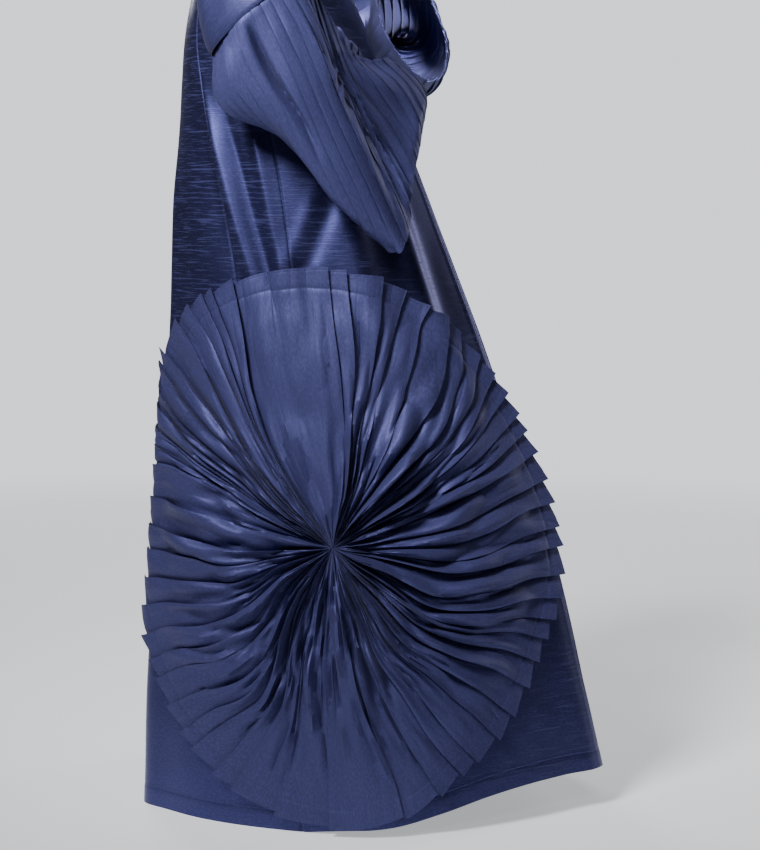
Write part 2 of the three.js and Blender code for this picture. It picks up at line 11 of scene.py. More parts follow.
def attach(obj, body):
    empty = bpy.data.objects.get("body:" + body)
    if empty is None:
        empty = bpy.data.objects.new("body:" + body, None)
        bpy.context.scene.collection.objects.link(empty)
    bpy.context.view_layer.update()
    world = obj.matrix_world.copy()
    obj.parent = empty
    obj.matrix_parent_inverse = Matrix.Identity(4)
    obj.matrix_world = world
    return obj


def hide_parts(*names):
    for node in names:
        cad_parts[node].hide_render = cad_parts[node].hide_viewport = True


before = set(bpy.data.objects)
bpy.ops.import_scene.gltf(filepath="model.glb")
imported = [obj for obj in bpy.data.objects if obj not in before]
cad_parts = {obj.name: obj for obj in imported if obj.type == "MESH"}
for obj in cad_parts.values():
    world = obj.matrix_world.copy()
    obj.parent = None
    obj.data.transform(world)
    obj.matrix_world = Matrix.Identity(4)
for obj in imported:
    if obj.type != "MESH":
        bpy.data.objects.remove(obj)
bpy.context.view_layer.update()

# Main sizes.
NECK_HEIGHT = 1530
SILK_THICK = 0.7
RIGHT = -1
LEFT = 1

# Body sections. Heights are above the hem; reaches are from the vertical axis.
SECTION_HEIGHT = [0, 200, 400, 600, 800, 1000, 1200, 1330, 1530]
FRONT_REACH = [600, 555, 508, 441, 370, 292, 216, 186, 120]
BACK_REACH = [196, 190, 176, 158, 143, 136, 123, 112, 84]
SIDE_AT_Y = [-240, -212, -184, -149, -117, -86, -50, -24, 0]
RIGHT_WIDTH = [265, 246, 226, 208, 196, 186, 175, 175, 190]
LEFT_WIDTH = [330, 302, 275, 248, 222, 196, 175, 175, 190]
KEEL = 0.8
BACK_POWER = 2 / 2.5
FRONT_GAP = 1.5

# Round the body a place is 0 at the centre front, 1 at the side seam and 3 at the centre back.
NECK_END = 0.45
BACK_NECK_START = 2.3
BEHIND = 1.000001
TOP_BLEND = 300
ARMHOLE_BLEND = 300
HEM_PLACE = [0, 0.3, 0.5, 0.7, 0.9, 1.2]
HEM_LIFT = [66, 64, 54, 34, 14, 0]

# Edge points at the top of the right half, mirrored for the left half.
FRONT_NECK = [0, -98, 1432]
FRONT_NECK_MIDDLE = [52, -66, 1466]
NECK_POINT = [75, 0, 1530]
BACK_NECK_MIDDLE = [48, 50, 1518]
BACK_NECK = [0, 62, 1512]
SHOULDER_TIP = [215, 0, 1475]
ARMHOLE_FRONT = [190, -72, 1390]
ARMHOLE_BACK = [200, 44, 1392]
UNDERARM = [178, -12, 1322]

# Where the side-back seam runs, as a place at each height, from the hem to the shoulder.
SIDE_BACK_HEIGHT = [0, 450, 890, 1090, 1280, 1480]
SIDE_BACK_PLACE = [1.22, 1.3, 1.42, 1.58, 1.84, 1.9]

# The folds of the body: side, place at the top and low end, heights, half-width and depth.
FOLD_FADE = 160
FOLDS = [
    (RIGHT, 1.72, 1.15, 1230, 820, 0.09, 9),
    (RIGHT, 1.45, 1.08, 1230, 820, 0.07, -7),
    (RIGHT, 1.13, 1.03, 1200, 820, 0.06, 9),
    (RIGHT, 0.50, 1.02, 1130, 900, 0.07, 3),
    (RIGHT, 0.40, 0.92, 1130, 900, 0.08, -6),
    (RIGHT, 0.58, 0.60, 1120, 860, 0.10, 11),
    (RIGHT, 0.27, 0.29, 1180, 780, 0.07, 12),
    (RIGHT, 0.10, 0.07, 480, 0, 0.06, 8),
    (RIGHT, 2.45, 2.35, 1150, 0, 0.16, 12),
    (LEFT, 0.45, 0.38, 1150, 0, 0.13, 16),
    (LEFT, 0.66, 0.64, 1150, 0, 0.11, -15),
    (LEFT, 0.92, 0.88, 1150, 0, 0.12, 14),
    (LEFT, 1.30, 1.34, 1150, 0, 0.13, -14),
    (LEFT, 1.62, 1.66, 1180, 0, 0.14, 15),
    (LEFT, 2.10, 2.05, 1180, 0, 0.16, -13),
    (LEFT, 2.55, 2.45, 1180, 0, 0.17, 13),
]

# The rosette. Shares run from 0 at the middle to 1 at the rim.
ROSETTE_HEIGHT = 447
ROSETTE_UP = 447
ROSETTE_FRONT = 414
ROSETTE_BACK = 400
ROSETTE_SHARE = [0.03, 0.11, 0.24, 0.39, 0.54, 0.69, 0.83, 0.93, 1]
ROSETTE_RISE = [5, 9, 13, 15.5, 16, 15.5, 14.5, 14, 14]
ROSETTE_PRESS = 0.25
PRESS_TURN = 1.2
HUB_LIFT = 7
RIM_STITCH = 32
# The rim isn't a true circle: its reach by the turn from the top, in degrees, + to the front.
RIM_TURN = [-180, -150, -110, -60, 0, 15, 60, 95, 118, 140, 155, 168, 180]
RIM_REACH = [0.975, 1.02, 1.03, 1, 1.012, 1.025, 1, 0.985, 0.895, 0.88, 0.885, 0.94, 0.975]

# The folds of the rosette by their turn at the rim, in degrees.
FOLD_TURNS = [
    -172, -159, -148, -143, -136, -132, -126, -120, -116, -111, -105, -99, -93, -88,
    -83, -77, -70, -64, -57, -53, -49, -45, -35, -29, -24, -21, -15, 8,
    12, 19, 26, 32, 36, 41, 48, 53, 58, 63, 67, 72, 78, 83,
    88, 92, 98, 103, 108, 113, 119, 126, 134, 141, 149, 154, 161, 173,
]

# The way main folds bend as they run inwards: turns at the rim and then at each share in COURSE_SHARE.
COURSE_SHARE = [1, 0.8, 0.6, 0.4, 0.2]
COURSES = [
    (-178, -177, -176, -175, -174),
    (-169, -168, -166, -163, -162),
    (-153, -154, -156, -152, -145),
    (-142, -145, -150, -147, -139),
    (-127, -131, -139, -141, -133),
    (-112, -113, -118, -120, -114),
    (-97, -98, -100, -105, -103),
    (-88, -87, -88, -91, -91),
    (-83, -79, -77, -77, -77),
    (-77, -70, -66, -65, -66),
    (-66, -63, -61, -60, -62),
    (-53, -54, -53, -52, -56),
    (-47, -44, -43, -44, -50),
    (-36, -34, -37, -41, -45),
    (-30, -28, -30, -34, -38),
    (-24, -24, -26, -30, -33),
    (-14, -16, -21, -26, -27),
    (8, 9.5, 12, 15.5, 21),
    (12, 14, 16, 18, 24),
    (18, 19.5, 21, 22, 27),
    (26, 24, 25, 26, 30),
    (32, 31, 33, 35, 36),
    (36, 41, 42, 41, 41),
    (41, 46, 49, 47, 46),
    (48, 51, 54, 52, 50),
    (53, 55, 57, 56, 54),
    (58, 59, 60, 60, 59),
    (72, 72, 72, 72, 72),
    (83, 83, 86, 89, 88),
    (92, 93.5, 98, 102, 99),
    (97, 99, 105, 114, 111),
    (107, 110, 120, 126, 124),
    (116, 118, 125, 131, 130),
    (125, 127, 133, 139, 137),
    (141, 142.5, 146, 153, 151),
    (151, 154, 156, 160, 158),
    (156, 159, 161, 164, 163),
    (165, 167, 170, 171, 171),
    (173, 173, 175.5, 177, 177),
]

# How deep and how rounded the folds lie round the rosette, by turn at the rim.
ZONE_TURN = [-180, -150, -110, -75, -40, -15, 0, 14, 30, 60, 85, 110, 140, 165, 180]
ZONE_DEPTH = [0.7, 1.8, 1.7, 1.2, 1.2, 0.9, 0.6, 1.8, 1.6, 1.5, 1.3, 1.6, 1.7, 1.4, 0.7]
ZONE_PUFF = [2, 4.5, 4.5, 2.5, 1, 0.5, 0.3, 2, 4, 4.5, 4.5, 5, 5, 3.5, 2]
ZONE_OPEN = [1, 0.65, 0.8, 1, 1, 1, 1, 1, 1, 1, 0.9, 0.8, 0.8, 0.8, 1]
# Folds deeper than their neighbours, by turn at the rim.
DEEP_FOLDS = {
    8: 1.2, 12: 1.5, 32: 1.4, 41: 1.5, 53: 1.3,
    -15: 1.5, -35: 1.4, -88: 1.4, 98: 1.4, 126: 1.4,
}
# One smooth panel lies over the fold at this turn.
PANEL_EDGE = 173
# One broad fold stands up from the middle to the rim at the bottom.
LOW_FOLD_TURN = 177
LOW_FOLD_HALF = 26
LOW_FOLD_RISE = 11

# The sleeves.
SLEEVE_PLEATS = 30
SEAM_CENTRE = [253, -68, 1291]
SEAM_LONG = [0, -77, 63]
SEAM_OUT = [65, 0, 0]
STATIONS = [0, 0.25, 0.5, 0.75, 1]
CAP_PULL = 95
SEAM_PULL = 85
PULL_LENGTH = 130

# The right bell sleeve: each rail leaves the seam ring at an angle and goes through four points.
RIGHT_RAILS = {
    "ridge": (45, [-285, -159, 1263], [-272, -190, 1178], [-240, -230, 1076], [-190, -285, 939]),
    "low_side": (105, [-306, -62, 1205], [-285, -118, 1128], [-242, -195, 1012], [-184, -268, 925]),
    "elbow": (180, [-258, -8, 1153], [-244, -102, 1106], [-212, -186, 1003], [-176, -246, 936]),
    "under": (232, [-212, -34, 1168], [-205, -108, 1112], [-178, -174, 1040], [-140, -212, 992]),
    "inside": (275, [-190, -84, 1228], [-172, -140, 1178], [-130, -188, 1130], [-88, -226, 1084]),
    "crook": (325, [-196, -158, 1285], [-160, -205, 1232], [-110, -238, 1210], [-55, -262, 1166]),
    "top": (0, [-226, -160, 1290], [-186, -204, 1228], [-128, -252, 1220], [-66, -293, 1183]),
    "valley": (24, [-254, -158, 1268], [-214, -192, 1186], [-164, -232, 1100], [-112, -286, 1062]),
}

# The left bell sleeve: ovals at five stations, folded across the front of the body.
LEFT_CENTRE = [SEAM_CENTRE, [270, -108, 1238], [228, -168, 1232], [140, -220, 1268], [42, -248, 1303]]
LEFT_LONG = [SEAM_LONG, [-18, -74, 62], [-28, -34, 72], [-14, 4, 84], [-30, 22, 94]]
LEFT_OUT = [SEAM_OUT, [68, -18, 0], [58, -54, 2], [28, -58, -4], [20, -50, -14]]
LEFT_CORNERS = 8

rng = np.random.default_rng(11)


def mix(a, b, t):
    return a + (b - a) * t


def ease(t):
    t = np.clip(t, 0, 1)
    return t * t * (3 - 2 * t)


def bump(t):
    """Rises from 0 to 1 and falls back to 0 as t goes from 0 to 1."""
    return np.sin(np.pi * np.clip(t, 0, 1)) ** 2


def unit(v):
    return v / np.maximum(np.linalg.norm(v, axis=-1, keepdims=True), 1e-9)


def point(triple, side):
    side = np.asarray(side, float)
    return np.stack([triple[0] * side, triple[1] + 0 * side, triple[2] + 0 * side], -1)


def smooth(places, sizes, at):
    """Reads a smooth curve through a short row of sizes."""
    places = np.asarray(places, float)
    sizes = np.asarray(sizes, float)
    at = np.clip(np.asarray(at, float), places[0], places[-1])
    last = len(places) - 1
    k = np.clip(np.searchsorted(places, at) - 1, 0, last - 1)
    low = np.maximum(np.arange(last + 1) - 1, 0)
    high = np.minimum(np.arange(last + 1) + 1, last)
    spread = places[high] - places[low]
    span = places[k + 1] - places[k]
    t = (at - places[k]) / span
    if sizes.ndim > 1:
        spread = spread[:, None]
        span = span[..., None]
        t = t[..., None]
    slope = (sizes[high] - sizes[low]) / spread
    start = (2 * t**3 - 3 * t**2 + 1) * sizes[k] + (t**3 - 2 * t**2 + t) * span * slope[k]
    return start + (3 * t**2 - 2 * t**3) * sizes[k + 1] + (t**3 - t**2) * span * slope[k + 1]


def ripple(u, v, size_u, size_v, seed):
    """Smooth numbers from about -1 to 1 over the cloth, the same on every run."""
    u, v = np.broadcast_arrays(np.asarray(u, float) / size_u, np.asarray(v, float) / size_v)
    flat = [noise.noise((a, b, seed)) for a, b in zip(u.ravel(), v.ravel())]
    return np.array(flat).reshape(u.shape)


def lengths_along(grid, axis):
    """How far each point lies along its row or column, in millimetres."""
    steps = np.linalg.norm(np.diff(grid, axis=axis), axis=-1)
    start = np.zeros_like(np.take(steps, [0], axis=axis))
    return np.concatenate([start, np.cumsum(steps, axis=axis)], axis=axis)


def grid_normals(grid, inside, closed=False):
    """The outward direction at each point of a grid, away from the points inside it."""
    along = np.gradient(grid, axis=0)
    if closed:
        across = np.roll(grid, -1, 1) - np.roll(grid, 1, 1)
    else:
        across = np.gradient(grid, axis=1)
    normal = unit(np.cross(across, along))
    return normal * np.sign(((grid - inside) * normal).sum())


# The body.


def fold_depth(side, place, height):
    """How far the folds lift the cloth at a place and height."""
    depth = np.zeros(np.broadcast(side, place, height).shape)
    for fold_side, top, low, start, stop, half, deep in FOLDS:
        down = np.clip((start - height) / (start - stop), 0, 1)
        across = (place - mix(top, low, down)) / half
        begin = ease((start - height) / FOLD_FADE)
        end = ease((height - stop + FOLD_FADE) / FOLD_FADE) if stop > 0 else 1
        grow = 1 if stop > 0 else mix(0.45, 1.25, down)
        depth += (side == fold_side) * deep * grow * begin * end * np.exp(-(across**2))
    return depth


def section(side, place, height):
    """The plain section of the body at a height, before the shoulders shape it."""
    side_y = smooth(SECTION_HEIGHT, SIDE_AT_Y, height)
    right = smooth(SECTION_HEIGHT, RIGHT_WIDTH, height)
    width = np.where(side == RIGHT, right, smooth(SECTION_HEIGHT, LEFT_WIDTH, height))
    angle = np.minimum(place, 1) * np.pi / 2
    reach = smooth(SECTION_HEIGHT, FRONT_REACH, height) + side_y
    front_x = width * np.sin(angle)
    front_y = side_y - reach * ((1 - KEEL) * np.cos(angle) + KEEL * (1 - place))
    angle = (np.maximum(place, 1) - 1) * np.pi / 4
    reach = smooth(SECTION_HEIGHT, BACK_REACH, height) - side_y
    back_x = width * np.maximum(0, np.cos(angle)) ** BACK_POWER
    back_y = side_y + reach * np.maximum(0, np.sin(angle)) ** BACK_POWER
    x = np.where(place <= 1, front_x, back_x)
    y = np.where(place <= 1, front_y, back_y)
    way = unit(np.stack([x / width, (y - side_y) / 200], -1))
    fold = fold_depth(side, place, height)
    z = height + 0 * x
    return np.stack([side * (x + fold * way[..., 0]), y + fold * way[..., 1], z], -1)


def bend(a, b, c, t):
    """A three-point curve, bent through its middle point."""
    t = np.asarray(t)[..., None]
    pull = 2 * b - 0.5 * a - 0.5 * c
    return a * (1 - t) ** 2 + pull * 2 * t * (1 - t) + c * t**2


def armhole_edge(side, front, height):
    """The armhole edge at a height, in front of the arm or behind it."""
    tip = point(SHOULDER_TIP, side)
    under = point(UNDERARM, side)
    is_front = np.asarray(front)[..., None]
    middle = np.where(is_front, point(ARMHOLE_FRONT, side), point(ARMHOLE_BACK, side))
    low = np.zeros(np.shape(height))
    high = np.ones(np.shape(height))
    for _ in range(30):
        half = (low + high) / 2
        below = bend(under, middle, tip, half)[..., 2] < height
        low = np.where(below, half, low)
        high = np.where(below, high, half)
    return bend(under, middle, tip, high)


def top_edge(side, place):
    """The top edge of the body: neckline and shoulder seam, by place."""
    neck = point(NECK_POINT, side)
    tip = point(SHOULDER_TIP, side)
    front = bend(point(FRONT_NECK, side), point(FRONT_NECK_MIDDLE, side), neck, place / NECK_END)
    fore = mix(neck, tip, ((place - NECK_END) / (1 - NECK_END))[..., None])
    rear = mix(tip, neck, ((place - 1) / (BACK_NECK_START - 1))[..., None])
    turn = (place - BACK_NECK_START) / (3 - BACK_NECK_START)
    back = bend(neck, point(BACK_NECK_MIDDLE, side), point(BACK_NECK, side), turn)
    at = place[..., None]
    behind = np.where(at <= BACK_NECK_START, rear, back)
    return np.where(at <= NECK_END, front, np.where(at <= 1, fore, behind))


def body_point(side, place, up):
    """A point of the body cloth. Up runs from 0 at the hem to 1 at the top edge."""
    top = top_edge(side, place)
    height = mix(smooth(HEM_PLACE, HEM_LIFT, place), top[..., 2], up)
    front = place <= 1
    near_arm = ease(np.where(front, (place - 0.3) / 0.7, (2.3 - place) / 1.3))

    def shaped(at):
        spot = section(side, place, at)
        over = np.maximum(at, UNDERARM[2])
        grow = ease((at - UNDERARM[2] + ARMHOLE_BLEND) / ARMHOLE_BLEND) * near_arm
        seam = section(side, np.where(front, 1, BEHIND), over)
        edge = armhole_edge(side, front, over) - seam
        spot[..., :2] += edge[..., :2] * grow[..., None]
        return spot

    spot = shaped(height)
    share = np.clip((height - top[..., 2] + TOP_BLEND) / TOP_BLEND, 0, 1) ** 2
    reach = shaped(top[..., 2])
    spot[..., :2] += share[..., None] * (top - reach)[..., :2]
    return spot


BODY_ROWS = 236
EDGE_STEPS = [0, 0.8, 2, 4, 7]
SEAM_DENT = 1.5
SEAM_HALF = 2.0
FRONT_BAND = 18
BAND_STEP = 0.9
BAND_CURL = 3.0
BAND_THICK = 0.8
SOFT_WAVE = 1.1
SMALL_WAVE = 0.35
HEM_BAND = 30
HEM_STEP = 0.6
body_ups = np.linspace(0, 1, BODY_ROWS)


def panel_shares(width, columns):
    """Shares across a panel, even but for a few close lines along both edges."""
    near = np.array(EDGE_STEPS) / width
    middle = np.linspace(near[-1], 1 - near[-1], columns)[1:-1]
    return np.concatenate([near, middle, 1 - near[::-1]])


def dent(distance):
    """The narrow valley that a seam pulls into the cloth."""
    return -SEAM_DENT * np.exp(-((distance / SEAM_HALF) ** 2))


def panel(name, side, from_place, to_place, width, columns):
    """One body panel between two seams, whose places are given for each row."""
    place = mix(from_place[:, None], to_place[:, None], panel_shares(width, columns)[None, :])
    up = body_ups[:, None] + 0 * place
    wrapped = place > 3
    sides = np.where(wrapped, -side, side)
    grid = body_point(sides, np.where(wrapped, 6 - place, place), up)
    inside = np.stack([0 * place, 0 * place - 60, grid[..., 2]], -1)
    normal = grid_normals(grid, inside)
    across = lengths_along(grid, 1)
    rest = across[:, -1:] - across
    rise = lengths_along(grid, 0)
    lift = SOFT_WAVE * ripple(across, rise, 110, 260, side * 3.1) * ease(rise / 200)
    lift += SMALL_WAVE * ripple(across, rise, 32, 60, side * 7.7)
    lift += HEM_STEP * ease((HEM_BAND - rise) / 2)
    lift += dent(rest)
    is_front = name.startswith("front")
    if is_front:
        lift += BAND_STEP * ease((FRONT_BAND - across) / 3)
        lift -= BAND_CURL * np.clip(1 - across / FRONT_BAND, 0, 1) ** 2
    else:
        lift += dent(across)
    outer = grid + normal * lift[..., None]
    if is_front:
        outer[:, 0, 0] = side * FRONT_GAP
    thick = SILK_THICK + 0 * across
    if is_front:
        thick += BAND_THICK * ease((FRONT_BAND - across) / 2)
    inner = outer - normal * thick[..., None]
    weave = np.stack([across, grid[..., 2]], -1)
    edge = across if is_front else 0 * across + 1000
    edges = np.stack([edge, rise], -1)
    return shell(name, outer, inner, False, weave, edges, "body")


def shell(name, outer, inner, closed, weave, edges, look, hub=False):
    """A closed piece of cloth from its outer and inner points, with its two maps in millimetres."""
    rows, columns = outer.shape[:2]
    wide = weave.shape[1]
    spans = columns if closed else columns - 1
    count = rows * columns
    i, j = np.mgrid[0 : rows - 1, 0:spans]

    def vertex(layer, down, along):
        return layer * count + down * columns + along % columns

    def quads(corners):
        """Faces from corners (layer, row, column)."""
        faces = [vertex(layer, a, b) for layer, a, b in corners]
        marks = [a * wide + b for _, a, b in corners]
        return np.stack(faces, -1).reshape(-1, 4), np.stack(marks, -1).reshape(-1, 4)

    rim = np.arange(spans)
    first = 0 * rim
    last = first + rows - 1
    blocks = [
        quads([(0, i, j), (0, i, j + 1), (0, i + 1, j + 1), (0, i + 1, j)]),
        quads([(1, i, j), (1, i + 1, j), (1, i + 1, j + 1), (1, i, j + 1)]),
        quads([(0, last, rim), (0, last, rim + 1), (1, last, rim + 1), (1, last, rim)]),
    ]
    if not hub:
        blocks.append(quads([(0, first, rim + 1), (0, first, rim), (1, first, rim), (1, first, rim + 1)]))
    if not closed:
        down = np.arange(rows - 1)
        start = 0 * down
        end = start + columns - 1
        first_edge = [(0, down, start), (0, down + 1, start), (1, down + 1, start), (1, down, start)]
        last_edge = [(0, down, end), (1, down, end), (1, down + 1, end), (0, down + 1, end)]
        blocks.append(quads(first_edge))
        blocks.append(quads(last_edge))
    faces = np.concatenate([block[0] for block in blocks])
    marks = np.concatenate([block[1] for block in blocks])
    points = np.concatenate([outer.reshape(-1, 3), inner.reshape(-1, 3)])
    here = points[faces[:, 0]]
    across = points[faces[:, 1]] - here
    along = points[faces[:, 3]] - here
    sheet = (rows - 1) * spans
    outward = (outer - inner).reshape(-1, 3)[faces[:sheet, 0]]
    turned = (np.cross(across, along)[:sheet] * outward).sum() < 0
    face_list = faces.tolist()
    mark_list = marks.tolist()
    if hub:
        points = np.concatenate([points, outer[0].mean(0)[None], inner[0].mean(0)[None]])
        for k in range(spans):
            follow = (k + 1) % columns
            face_list.append([2 * count, follow, k])
            face_list.append([2 * count + 1, count + k, count + follow])
            mark_list.append([k, k + 1, k])
            mark_list.append([k, k, k + 1])
    if turned:
        face_list = [face[::-1] for face in face_list]
        mark_list = [mark[::-1] for mark in mark_list]
    points = (points - [0, 0, NECK_HEIGHT]) / 1000
    mesh = bpy.data.meshes.new(name)
    mesh.from_pydata(points.tolist(), [], face_list)
    flat_marks = np.concatenate([np.array(mark) for mark in mark_list])
    for title, chart in (("Weave", weave), ("Edges", edges)):
        layer = mesh.uv_layers.new(name=title)
        layer.data.foreach_set("uv", (chart.reshape(-1, 2)[flat_marks] / 1000).ravel())
    mesh.polygons.foreach_set("use_smooth", [True] * len(mesh.polygons))
    mesh.set_sharp_from_angle(angle=math.radians(55))
    mesh.update()
    piece = bpy.data.objects.new(name + "_cloth", mesh)
    bpy.context.scene.collection.objects.link(piece)
    mesh.materials.append(SILKS[look])
    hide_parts(name)
    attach(piece, "root")
    return piece


# The shader language: a wrapped socket on which arithmetic adds Math nodes.


class Value:
    def __init__(self, tree, socket):
        self.tree = tree
        self.socket = socket

    def maths(self, operation, *parts):
        node = self.tree.nodes.new("ShaderNodeMath")
        node.operation = operation
        for slot, part in zip(node.inputs, parts):
            if isinstance(part, Value):
                self.tree.links.new(part.socket, slot)
            else:
                slot.default_value = part
        return Value(self.tree, node.outputs[0])

    def apply(self, operation, *others):
        return self.maths(operation, self, *others)

    def __add__(self, other):
        return self.maths("ADD", self, other)

    def __radd__(self, other):
        return self.maths("ADD", other, self)

    def __sub__(self, other):
        return self.maths("SUBTRACT", self, other)

    def __rsub__(self, other):
        return self.maths("SUBTRACT", other, self)

    def __mul__(self, other):
        return self.maths("MULTIPLY", self, other)

    def __rmul__(self, other):
        return self.maths("MULTIPLY", other, self)

    def between(self, low, high):
        """0 below low, 1 above high, straight between."""
        made = (self - low) * (1 / (high - low))
        made.socket.node.use_clamp = True
        return made


class Finish:
    """A material being made, one node at a time."""

    def __init__(self, name):
        self.material = bpy.data.materials.new(name)
        self.material.use_nodes = True
        self.tree = self.material.node_tree
        self.tree.nodes.clear()

    def node(self, kind, settings=None, sockets=None, output=0):
        made = self.tree.nodes.new(kind)
        for key, value in (settings or {}).items():
            setattr(made, key, value)
        for key, value in (sockets or {}).items():
            slot = made.inputs[key]
            if isinstance(value, Value):
                self.tree.links.new(value.socket, slot)
            else:
                slot.default_value = value
        return Value(self.tree, made.outputs[output]) if made.outputs else None

    def chart(self, name):
        """The two numbers of a map, in metres."""
        spot = self.node("ShaderNodeUVMap", {"uv_map": name})
        split = self.node("ShaderNodeSeparateXYZ", sockets={0: spot})
        return split, Value(self.tree, split.socket.node.outputs[1])

    def speckle(self, u, v, detail):
        """Noise from 0 to 1 over the cloth."""
        spot = self.node("ShaderNodeCombineXYZ", sockets={0: u, 1: v})
        return self.node("ShaderNodeTexNoise", sockets={"Vector": spot, "Scale": 1.0, "Detail": detail})

    def blend(self, factor, a, b):
        """A colour between two others."""
        return self.node("ShaderNodeMix", {"data_type": "RGBA"}, {0: factor, 6: a, 7: b}, output=2)


STITCH_PITCH = 0.0034
GROOVE_HALF = 0.0016
THREAD_HALF = 0.0007
WEAVE_DEPTH = 0.0003
SLUB_SHARE = 0.6


def silk(name, tone, bright, metallic, rough, wrinkle, lines):
    """Dupion silk with level slubs. Wrinkle is how deep its creases are, in metres.
    Each stitch line is an axis of the edge map and a distance along it, in metres."""
    made = Finish(name)
    u, v = made.chart("Weave")
    edges = made.chart("Edges")
    thread = made.speckle(u * 160, v * 420, 2.0)
    slub = made.speckle(u * 24, v * 520, 1.5).between(0.56, 0.66)
    thick_slub = made.speckle(u * 12 + 40, v * 260, 1.0).between(0.60, 0.70)
    streak = (slub * 0.65 + thick_slub * 0.8).apply("MINIMUM", 1.0) * SLUB_SHARE
    cloud = made.speckle(u * 7, v * 5, 2.0)
    height = thread * 0.3 + streak * 0.5
    stitch = None
    for axis, offset in lines:
        away = (edges[axis] - offset).apply("ABSOLUTE")
        dash = (edges[1 - axis] * (2 * math.pi / STITCH_PITCH)).apply("SINE").between(-0.7, 0.1)
        groove = 1 - away.between(0.0, GROOVE_HALF)
        line = (1 - away.between(THREAD_HALF * 0.5, THREAD_HALF)) * dash
        height = height - groove * 1.6 + line * 0.9
        stitch = line if stitch is None else stitch.apply("MAXIMUM", line)
    base = made.blend(cloud.between(0.3, 0.7), tone, [c * 1.15 for c in tone])
    base = made.blend(thread.between(0.45, 0.60) * 0.3, base, [c * 2 for c in tone])
    base = made.blend(streak, base, bright)
    if stitch is not None:
        base = made.blend(stitch * 0.5, base, bright)
    relief = {"Height": height, "Strength": 0.5, "Distance": WEAVE_DEPTH}
    if wrinkle > 0:
        patches = made.speckle(u * 6 + 3, v * 9, 1.0).between(0.42, 0.62)
        crease = (made.speckle(u * 7, v * 26, 1.0) - 0.5).apply("ABSOLUTE") * 5
        fine = (made.speckle(u * 9 + 9, v * 60, 0.5) - 0.5).apply("ABSOLUTE") * 2 * patches
        creases = {"Height": crease + fine, "Strength": 1.0, "Distance": wrinkle}
        relief["Normal"] = made.node("ShaderNodeBump", sockets=creases)
    shader = made.node(
        "ShaderNodeBsdfPrincipled",
        sockets={
            "Base Color": base,
            "Metallic": metallic - streak * (0.8 * metallic),
            "Roughness": rough + streak * 0.15 + (cloud - 0.5) * 0.12,
            "Normal": made.node("ShaderNodeBump", sockets=relief),
            "Specular IOR Level": 0.2,
            "Sheen Weight": 0.03,
            "Sheen Roughness": 0.4,
            "Sheen Tint": (0.95, 0.93, 1.0, 1.0),
        },
    )
    made.node("ShaderNodeOutputMaterial", sockets={"Surface": shader})
    return made.material


NAVY = (0.043, 0.045, 0.138, 1)
SLUB = (0.045, 0.048, 0.145, 1)
PLEAT_NAVY = (0.041, 0.043, 0.128, 1)
UPPER_NAVY = (0.033, 0.035, 0.107, 1)
# The sleeves' pleated silk is lighter than the same silk on the rosette: painted light, standing in for the
# light that falls on the sleeves.
SLEEVE_NAVY_PAINTED_LIGHT = (0.054, 0.057, 0.165, 1)
PLEAT_SLUB = (0.036, 0.038, 0.114, 1)

# The edge map's axes, and the stitch lines of each silk.
FIRST_EDGE = 0
HEM_EDGE = 1
BODY_STITCHES = [(FIRST_EDGE, 0.008), (FIRST_EDGE, 0.0115), (HEM_EDGE, 0.030)]
CUFF_STITCHES = [(FIRST_EDGE, 0.008)]
RIM_STITCHES = [(FIRST_EDGE, 0.0045), (FIRST_EDGE, 0.032)]

# The silks: name, main tone, slub tone, how metallic, how rough, depth of the creases, stitch lines.
SILKS = {
    "body": silk("body_silk", NAVY, SLUB, 0.9, 0.38, 0, BODY_STITCHES),
    "plain": silk("upper_sleeve_silk", UPPER_NAVY, PLEAT_SLUB, 0.5, 0.52, 0.0004, []),
    # The sleeve silk's lighter tone is painted light, standing in for the light that falls on the sleeves.
    "sleeve": silk("pleated_sleeve_silk_painted_lighter", SLEEVE_NAVY_PAINTED_LIGHT, PLEAT_SLUB, 0.5, 0.52, 0.0006, CUFF_STITCHES),
    "rosette": silk("rosette_silk", PLEAT_NAVY, PLEAT_SLUB, 0.45, 0.56, 0.0016, RIM_STITCHES),
}


side_back_place = smooth(SIDE_BACK_HEIGHT, SIDE_BACK_PLACE, body_ups * SIDE_BACK_HEIGHT[-1])
every_row = np.ones(BODY_ROWS)
for word, side in (("right", RIGHT), ("left", LEFT)):
    title = "front_" + word
    panel(title, side, 0 * every_row, every_row, 450, 84)
    title = "side_back_" + word
    panel(title, side, BEHIND * every_row, side_back_place, 110, 30)
panel("back_centre", RIGHT, side_back_place, 6 - side_back_place, 620, 110)


# The sleeves.


def ring_curves(controls, steps=30):
    """Closed smooth curves through rings of control points, as (stations, points, 3)."""
    before = np.roll(controls, 1, 1)
    after = np.roll(controls, -1, 1)
    beyond = np.roll(controls, -2, 1)
    t = np.linspace(0, 1, steps, endpoint=False)[None, None, :, None]
    here, follow = controls[:, :, None], after[:, :, None]
    leave = 0.5 * (after - before)[:, :, None]
    reach = 0.5 * (beyond - controls)[:, :, None]
    curve = (2 * t**3 - 3 * t**2 + 1) * here + (t**3 - 2 * t**2 + t) * leave
    curve = curve + (3 * t**2 - 2 * t**3) * follow + (t**3 - t**2) * reach
    return curve.reshape(len(controls), -1, 3)


def read_rings(curves, share):
    """Reads closed curves at shares of their length; share is (stations, columns)."""
    spots = []
    for curve, wanted in zip(curves, share):
        loop = np.concatenate([curve, curve[:1]])
        run = lengths_along(loop, 0)
        at = np.mod(wanted, 1) * run[-1]
        spots.append(np.stack([np.interp(at, run, loop[:, axis]) for axis in range(3)], -1))
    return np.array(spots)


def seam_normal(side):
    return unit(np.cross(point(SEAM_LONG, side), point(SEAM_OUT, side)) * -side)


def seam_ring_point(side, degrees):
    angle = np.radians(np.asarray(degrees, float))[..., None]
    ring = point(SEAM_CENTRE, side) + point(SEAM_LONG, side) * np.cos(angle)
    return ring + point(SEAM_OUT, side) * np.sin(angle)


